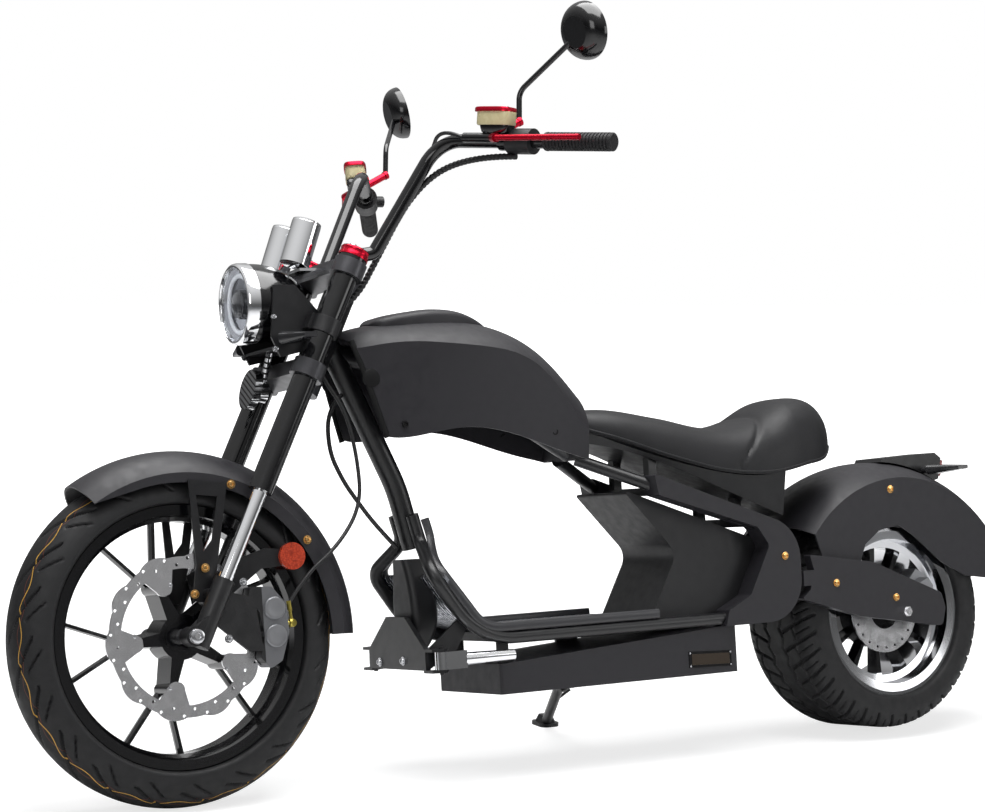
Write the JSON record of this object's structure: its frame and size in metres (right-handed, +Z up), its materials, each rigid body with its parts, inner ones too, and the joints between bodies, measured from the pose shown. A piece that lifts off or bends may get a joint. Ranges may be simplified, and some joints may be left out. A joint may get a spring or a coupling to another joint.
{
  "type": "electric chopper scooter",
  "caption": "Low two-wheeled electric cruiser with a raked fork, swept handlebar, fat rear tyre, step-through deck and long seat, leaning on its side stand.",
  "frame": {"origin": "on the ground under the middle of the parked scooter's bounding box", "axes": "+X forward along the wheelbase, +Y to the rider's left, +Z up; the scooter leans 9 degrees to its right, towards -Y"},
  "size_m": [2.1829, 0.9884, 1.4282],
  "materials": {
    "frame_black": "satin black powder coat",
    "body_grey": "matte dark grey paint",
    "moulded_black": "grained moulding",
    "tread_plate": "bright bar-pattern plate",
    "seat_leather": "soft grained",
    "tyre": "moulded tread",
    "cast_black": "gloss black casting",
    "polished_rim": "polished lip with black blades",
    "steel": "ground steel",
    "bright": "bright plated",
    "fork_paint": "gloss black",
    "rubber": "ribbed",
    "red_anodised": "red anodised",
    "gold_anodised": "champagne body, red cap",
    "lens_clear": "clear lens",
    "lens_amber": "ribbed orange reflector",
    "lens_smoke": "smoked lens on a black stalk",
    "lens_red": "red lens",
    "mirror_shell": "black shell"
  },
  "bodies": {
    "scooter_frame": {"frame_spine": "frame_black", "rail_left": "frame_black", "rail_right": "frame_black", "cross_members": "frame_black", "floorboard": "tread_plate", "peg_bracket": "frame_black", "foot_shroud": "moulded_black", "battery_box": "body_grey", "tank_cover": "body_grey", "tank_lid": "body_grey", "seat": "seat_leather", "seat_base": "moulded_black", "under_seat_panel": "moulded_black", "side_covers": "body_grey", "rear_fender": "body_grey", "tail_bracket": "frame_black", "tail_lamp": "lens_red", "rear_signals": "lens_smoke", "swingarm": "frame_black", "rear_axle": "steel", "rear_caliper": "bright", "stand_bracket": "frame_black", "frame_cable": "rubber"},
    "front_fork": {"triple_clamps": "frame_black", "fork_tubes": "fork_paint", "fork_stanchions": "bright", "fork_castings": "cast_black", "front_axle": "steel", "front_fender": "body_grey", "fender_brackets": "frame_black", "reflectors": "lens_amber", "front_caliper": "fork_paint", "headlight": "moulded_black", "headlight_lens": "lens_clear", "lamp_bracket": "frame_black", "gauges": "bright", "horn": "bright", "front_signals": "lens_smoke", "handlebar": "fork_paint", "grips": "rubber", "switch_housings": "moulded_black", "brake_masters": "gold_anodised", "brake_levers": "red_anodised", "mirrors": "mirror_shell", "front_brake_hose": "rubber", "control_loom": "rubber"},
    "front_wheel": {"front_tyre": "tyre", "front_rim": "cast_black", "front_disc": "steel"},
    "rear_wheel": {"rear_tyre": "tyre", "rear_rim": "polished_rim", "rear_disc": "steel"},
    "kickstand": {"side_stand": "steel"},
    "left_peg": {"foot_peg_left": "steel"},
    "right_peg": {"foot_peg_right": "steel"}
  },
  "joints": [
    {"name": "steering", "type": "hinge", "parent": "scooter_frame", "child": "front_fork", "pos_m": [0.47106, 0.03085, 0.81377], "axis": [-0.448, -0.1399, 0.883], "range_deg": [-25.75, 34.25]},
    {"name": "front_wheel_spin", "type": "hinge", "parent": "front_fork", "child": "front_wheel", "pos_m": [0.79599, 0.10944, 0.29189], "axis": [0.0663, 0.9798, 0.1888], "continuous": true},
    {"name": "rear_wheel_spin", "type": "hinge", "parent": "scooter_frame", "child": "rear_wheel", "pos_m": [-0.75924, 0.12116, 0.24357], "axis": [0, 0.9877, 0.1564], "continuous": true},
    {"name": "stand_fold", "type": "hinge", "parent": "scooter_frame", "child": "kickstand", "pos_m": [-0.0959, 0.00156, 0.12295], "axis": [0.0058, -0.6268, 0.7792], "range_deg": [0, 90]},
    {"name": "left_peg_fold", "type": "hinge", "parent": "scooter_frame", "child": "left_peg", "pos_m": [0.32663, 0.24514, 0.24068], "axis": [0.0067, -0.1564, 0.9877], "range_deg": [-90, 0]},
    {"name": "right_peg_fold", "type": "hinge", "parent": "scooter_frame", "child": "right_peg", "pos_m": [0.32663, 0.00414, 0.20251], "axis": [0.0067, -0.1564, 0.9877], "range_deg": [0, 90]}
  ]
}
